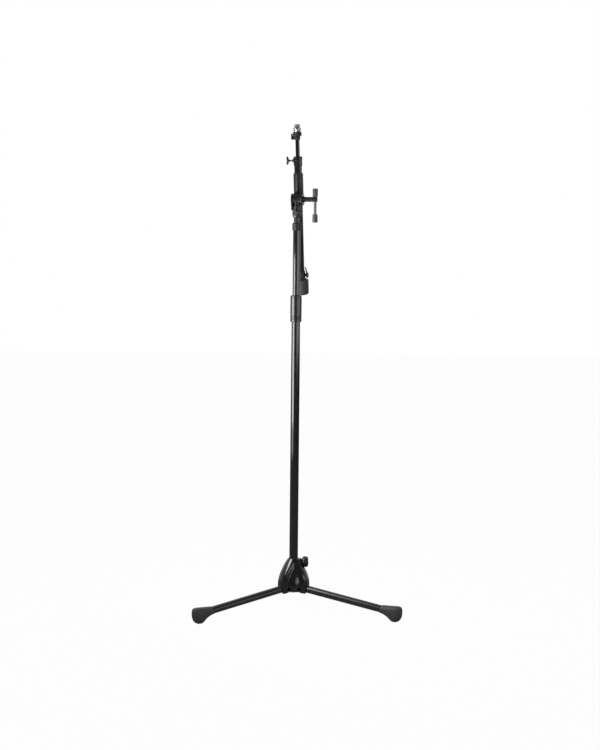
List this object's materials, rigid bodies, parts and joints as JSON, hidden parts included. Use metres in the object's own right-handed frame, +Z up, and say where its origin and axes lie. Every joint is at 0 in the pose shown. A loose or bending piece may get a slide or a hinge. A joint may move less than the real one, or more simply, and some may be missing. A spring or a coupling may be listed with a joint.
{
  "type": "microphone boom stand",
  "caption": "Microphone boom stand with a folding tripod base, a telescopic mast with a twist clutch, and a telescopic boom with a counterweight and a threaded adapter.",
  "frame": {"origin": "point on the floor under the mast axis", "axes": "+Z up along the mast axis, +Y towards the rear leg (the side the boom weight hangs on), +X to the right, seen from the front"},
  "size_m": [0.5924, 0.5157, 1.4034],
  "materials": {
    "hub_paint": "die-cast metal, glossy black paint",
    "tube_paint": "steel tube, glossy black powder coat",
    "clamp_paint": "die-cast metal, black paint",
    "foot_rubber": "black rubber",
    "knob_plastic": "black plastic",
    "clutch_plastic": "black plastic, glossy",
    "collar_plastic": "black plastic",
    "guide_plastic": "dark plastic",
    "bolt_steel": "zinc-plated steel",
    "bar_steel": "steel bar",
    "nut_metal": "turned metal",
    "neck_metal": "turned metal, black",
    "cap_plastic": "dark grey plastic",
    "weight_coat": "cast weight with a matt black coat"
  },
  "bodies": {
    "base": {"hub": "hub_paint", "hub_bush": "guide_plastic", "hub_pad": "guide_plastic", "leg_pins": "neck_metal"},
    "leg_front_left": {"front_left_leg_tube": "tube_paint", "front_left_leg_root": "guide_plastic", "front_left_foot": "foot_rubber"},
    "leg_front_right": {"front_right_leg_tube": "tube_paint", "front_right_leg_root": "guide_plastic", "front_right_foot": "foot_rubber"},
    "leg_rear": {"rear_leg_tube": "tube_paint", "rear_leg_root": "guide_plastic", "rear_foot": "foot_rubber"},
    "hub_lock": {"hub_screw": "bolt_steel", "hub_knob": "knob_plastic"},
    "mast_lower": {"lower_tube": "tube_paint", "tube_end_plug": "collar_plastic", "clutch_base": "clutch_plastic", "clutch_collet": "guide_plastic"},
    "clutch": {"clutch_grip": "clutch_plastic"},
    "mast_glide": {"glide_bush": "guide_plastic"},
    "mast_upper": {"upper_tube": "tube_paint", "top_collar": "collar_plastic", "neck_stud": "neck_metal", "swivel_body": "clamp_paint", "friction_washers": "bolt_steel"},
    "neck_nut": {"lock_nut": "neck_metal"},
    "holder": {"boom_holder": "clamp_paint", "clamp_nut": "bolt_steel"},
    "clamp": {"clamp_screw": "bolt_steel", "clamp_boss": "knob_plastic"},
    "t_handle": {"t_bar": "bar_steel", "t_bar_cap_upper": "cap_plastic", "t_bar_cap_lower": "cap_plastic"},
    "liner": {"boom_liner": "guide_plastic"},
    "boom": {"boom_tube": "tube_paint", "boom_end_cap": "collar_plastic", "boom_collar": "collar_plastic", "rod_guide": "guide_plastic"},
    "boom_lock": {"boom_wing_screw": "bolt_steel", "boom_wing": "knob_plastic"},
    "rod_glide": {"rod_bush": "guide_plastic"},
    "rod": {"boom_rod": "tube_paint", "rod_stud": "nut_metal", "tip_ring": "collar_plastic"},
    "tip_lock": {"tip_nut": "nut_metal"},
    "adapter": {"thread_adapter": "nut_metal"},
    "clip": {"cable_clip": "collar_plastic"},
    "weight": {"counterweight": "weight_coat", "weight_collar": "collar_plastic"},
    "weight_lock": {"weight_screw": "bolt_steel", "weight_screw_head": "knob_plastic"}
  },
  "joints": [
    {"name": "front_left_leg_fold", "type": "hinge", "parent": "base", "child": "leg_front_left", "pos_m": [-0.02685, -0.0155, 0.069], "axis": [0.5, -0.866, 0], "range_deg": [0, 78]},
    {"name": "front_right_leg_fold", "type": "hinge", "parent": "base", "child": "leg_front_right", "pos_m": [0.02685, -0.0155, 0.069], "axis": [0.5, 0.866, 0], "range_deg": [0, 78]},
    {"name": "rear_leg_fold", "type": "hinge", "parent": "base", "child": "leg_rear", "pos_m": [0, 0.031, 0.069], "axis": [-1, 0, 0], "range_deg": [0, 78]},
    {"name": "hub_knob_turn", "type": "hinge", "parent": "base", "child": "hub_lock", "pos_m": [0.03, 0, 0.1432], "axis": [1, 0, 0], "range_deg": [0, 720]},
    {"name": "hub_slide", "type": "slide", "parent": "base", "child": "mast_lower", "axis": [0, 0, 1], "range_m": [-0.27, 0]},
    {"name": "clutch_turn", "type": "hinge", "parent": "mast_lower", "child": "clutch", "pos_m": [0, 0, 0.88], "axis": [0, 0, 1], "range_deg": [0, 120]},
    {"name": "mast_slide", "type": "slide", "parent": "mast_lower", "child": "mast_glide", "axis": [0, 0, 1], "range_m": [-0.184, 0.415]},
    {"name": "mast_turn", "type": "hinge", "parent": "mast_glide", "child": "mast_upper", "pos_m": [0, 0, 1], "axis": [0, 0, 1], "continuous": true},
    {"name": "lock_nut_turn", "type": "hinge", "parent": "mast_upper", "child": "neck_nut", "pos_m": [0, 0, 1.15], "axis": [0, 0, 1], "range_deg": [0, 360]},
    {"name": "boom_tilt", "type": "hinge", "parent": "mast_upper", "child": "holder", "pos_m": [0, 0, 1.19], "axis": [0.9703, -0.2419, 0], "range_deg": [-7, 128]},
    {"name": "clamp_screw_turn", "type": "hinge", "parent": "holder", "child": "clamp", "pos_m": [0, 0, 1.19], "axis": [0.9703, -0.2419, 0], "range_deg": [0, 720]},
    {"name": "t_bar_slide", "type": "slide", "parent": "clamp", "child": "t_handle", "axis": [0, 0, 1], "range_m": [0, 0.0344]},
    {"name": "boom_roll", "type": "hinge", "parent": "holder", "child": "liner", "pos_m": [0.00734, 0.02942, 1.19644], "axis": [-0.0503, -0.2017, 0.9781], "continuous": true},
    {"name": "boom_slide", "type": "slide", "parent": "liner", "child": "boom", "axis": [0.0503, 0.2017, -0.9781], "range_m": [-0.18, 0.02]},
    {"name": "boom_wing_turn", "type": "hinge", "parent": "boom", "child": "boom_lock", "pos_m": [-0.02227, 0.01401, 1.30052], "axis": [-0.9703, 0.2419, 0], "range_deg": [0, 720]},
    {"name": "rod_slide", "type": "slide", "parent": "boom", "child": "rod_glide", "axis": [-0.0503, -0.2017, 0.9781], "range_m": [-0.039, 0.285]},
    {"name": "rod_turn", "type": "hinge", "parent": "rod_glide", "child": "rod", "pos_m": [0.00231, 0.00925, 1.29426], "axis": [-0.0503, -0.2017, 0.9781], "continuous": true},
    {"name": "tip_nut_turn", "type": "hinge", "parent": "rod", "child": "tip_lock", "pos_m": [-0.00242, -0.00971, 1.38621], "axis": [-0.0503, -0.2017, 0.9781], "range_deg": [0, 360]},
    {"name": "adapter_turn", "type": "hinge", "parent": "rod", "child": "adapter", "pos_m": [-0.00298, -0.01193, 1.39697], "axis": [-0.0503, -0.2017, 0.9781], "range_deg": [0, 720]},
    {"name": "cable_clip_turn", "type": "hinge", "parent": "rod", "child": "clip", "pos_m": [-0.00115, -0.00461, 1.36146], "axis": [-0.0503, -0.2017, 0.9781], "continuous": true},
    {"name": "counterweight_slide", "type": "slide", "parent": "boom", "child": "weight", "axis": [-0.0503, -0.2017, 0.9781], "range_m": [0, 0.15]},
    {"name": "weight_screw_turn", "type": "hinge", "parent": "weight", "child": "weight_lock", "pos_m": [0.03624, 0.07094, 0.97401], "axis": [0.9703, -0.2419, 0], "range_deg": [0, 115]}
  ]
}
